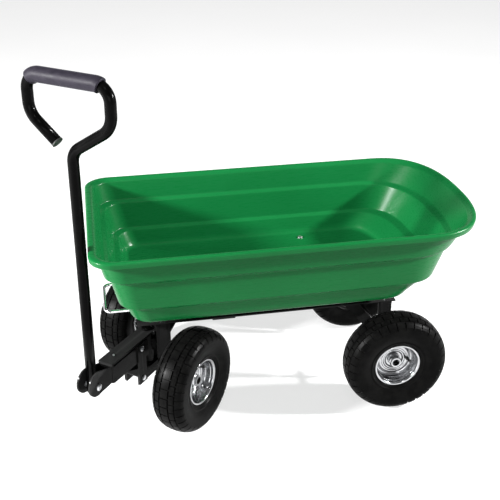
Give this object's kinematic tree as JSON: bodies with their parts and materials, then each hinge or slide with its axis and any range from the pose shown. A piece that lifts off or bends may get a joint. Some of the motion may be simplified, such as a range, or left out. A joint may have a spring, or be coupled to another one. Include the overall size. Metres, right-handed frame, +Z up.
{
  "type": "garden dump cart",
  "caption": "Pull-along garden cart with a moulded tipping tub on a steel chassis, steered front wheels, tongue with loop handle and pneumatic tyres.",
  "frame": {"origin": "middle of the footprint of the whole cart, on the ground", "axes": "+X towards the cart's front, +Y to its left, +Z up; the steering is turned left and the handle stands upright"},
  "size_m": [1.0348, 0.5598, 0.883],
  "materials": {
    "green_plastic": "moulded, fine grain, semi-matt",
    "black_paint": "gloss black powder coat",
    "zinc": "bright zinc plate",
    "bright_wire": "bright plated",
    "rim_silver": "bright silver enamel",
    "tyre_rubber": "matt with moulded tread",
    "foam": "closed-cell foam, matt with a slight sheen",
    "black_plastic": "black, smooth"
  },
  "bodies": {
    "chassis": {"rail_left": "black_paint", "rail_right": "black_paint", "front_crossmember": "black_paint", "middle_plate": "black_paint", "rear_crossmember": "black_paint", "front_post_left": "black_paint", "front_post_right": "black_paint", "rear_post_left": "black_paint", "rear_post_right": "black_paint", "rear_brace_left": "black_paint", "rear_brace_right": "black_paint", "front_axle_beam": "black_paint", "rear_axle": "black_paint", "rear_axle_clips": "zinc", "frame_bolts": "zinc", "hinge_pins": "zinc", "kingpins": "zinc", "latch_spring": "zinc"},
    "tub_body": {"tub": "green_plastic", "tub_bolts": "zinc", "hinge_bracket_left": "black_paint", "hinge_bracket_right": "black_paint", "latch_striker": "zinc"},
    "release": {"release_loop": "bright_wire", "latch_hook": "bright_wire"},
    "tongue": {"tongue_channel": "black_paint", "tongue_strap": "black_paint", "tongue_clevis": "black_paint", "tongue_link_left": "black_paint", "tongue_link_right": "black_paint", "tongue_foot": "black_paint", "tongue_bolts": "zinc", "steering_bolt": "black_paint", "handle_bolt": "zinc"},
    "handle": {"handle_tube": "black_paint", "handle_grip": "foam", "handle_end_cap": "black_plastic"},
    "steer_left": {"knuckle_left": "black_paint", "spindle_clip_left": "zinc"},
    "steer_right": {"knuckle_right": "black_paint", "spindle_clip_right": "zinc"},
    "rod_left": {"tie_rod_left": "black_paint"},
    "rod_right": {"tie_rod_right": "black_paint"},
    "wheel_rear_left": {"tyre_rear_left": "tyre_rubber", "rim_rear_left": "rim_silver", "hub_rear_left": "rim_silver", "valve_rear_left": "black_plastic"},
    "wheel_rear_right": {"tyre_rear_right": "tyre_rubber", "rim_rear_right": "rim_silver", "hub_rear_right": "rim_silver", "valve_rear_right": "black_plastic"},
    "wheel_front_left": {"tyre_front_left": "tyre_rubber", "rim_front_left": "rim_silver", "hub_front_left": "rim_silver", "valve_front_left": "black_plastic"},
    "wheel_front_right": {"tyre_front_right": "tyre_rubber", "rim_front_right": "rim_silver", "hub_front_right": "rim_silver", "valve_front_right": "black_plastic"}
  },
  "joints": [
    {"name": "tub_tip", "type": "hinge", "parent": "chassis", "child": "tub_body", "pos_m": [-0.31341, -0.01782, 0.272], "axis": [0, -1, 0], "range_deg": [0, 65]},
    {"name": "release_lift", "type": "hinge", "parent": "chassis", "child": "release", "pos_m": [0.29459, -0.01782, 0.2655], "axis": [0, -1, 0], "range_deg": [0, 24], "stiffness_Nm_per_rad": 1.2, "springref_deg": -20.05},
    {"name": "tongue_steer", "type": "hinge", "parent": "chassis", "child": "tongue", "pos_m": [0.28859, -0.01782, 0.12], "axis": [0, 0, 1], "range_deg": [-101.6, 0]},
    {"name": "handle_tilt", "type": "hinge", "parent": "tongue", "child": "handle", "pos_m": [0.43238, 0.15848, 0.136], "axis": [-0.7749, 0.632, 0], "range_deg": [0, 95]},
    {"name": "knuckle_left_steer", "type": "hinge", "parent": "chassis", "child": "steer_left", "pos_m": [0.23559, 0.10418, 0.1275], "axis": [0, 0, 1], "range_deg": [-101.6, 0]},
    {"name": "knuckle_right_steer", "type": "hinge", "parent": "chassis", "child": "steer_right", "pos_m": [0.23559, -0.13982, 0.1275], "axis": [0, 0, 1], "range_deg": [-101.6, 0]},
    {"name": "rod_left_swing", "type": "hinge", "parent": "tongue", "child": "rod_left", "pos_m": [0.25825, -0.05502, 0.091], "axis": [0, 0, 1], "range_deg": [0, 101.6]},
    {"name": "rod_right_swing", "type": "hinge", "parent": "tongue", "child": "rod_right", "pos_m": [0.25825, -0.05502, 0.086], "axis": [0, 0, 1], "range_deg": [0, 101.6]},
    {"name": "rear_left_spin", "type": "hinge", "parent": "chassis", "child": "wheel_rear_left", "pos_m": [-0.30341, 0.17668, 0.1275], "axis": [0, 1, 0], "continuous": true},
    {"name": "rear_right_spin", "type": "hinge", "parent": "chassis", "child": "wheel_rear_right", "pos_m": [-0.30341, -0.21232, 0.1275], "axis": [0, 1, 0], "continuous": true},
    {"name": "front_left_spin", "type": "hinge", "parent": "steer_left", "child": "wheel_front_left", "pos_m": [0.19588, 0.16624, 0.1275], "axis": [-0.7749, 0.632, 0], "continuous": true},
    {"name": "front_right_spin", "type": "hinge", "parent": "steer_right", "child": "wheel_front_right", "pos_m": [0.30437, -0.16624, 0.1275], "axis": [-0.7749, 0.632, 0], "continuous": true}
  ],
  "couplings": [
    {"joint": "knuckle_left_steer", "follows": "tongue_steer", "ratio": 1},
    {"joint": "knuckle_right_steer", "follows": "tongue_steer", "ratio": 1},
    {"joint": "rod_left_swing", "follows": "tongue_steer", "ratio": -1},
    {"joint": "rod_right_swing", "follows": "tongue_steer", "ratio": -1}
  ]
}
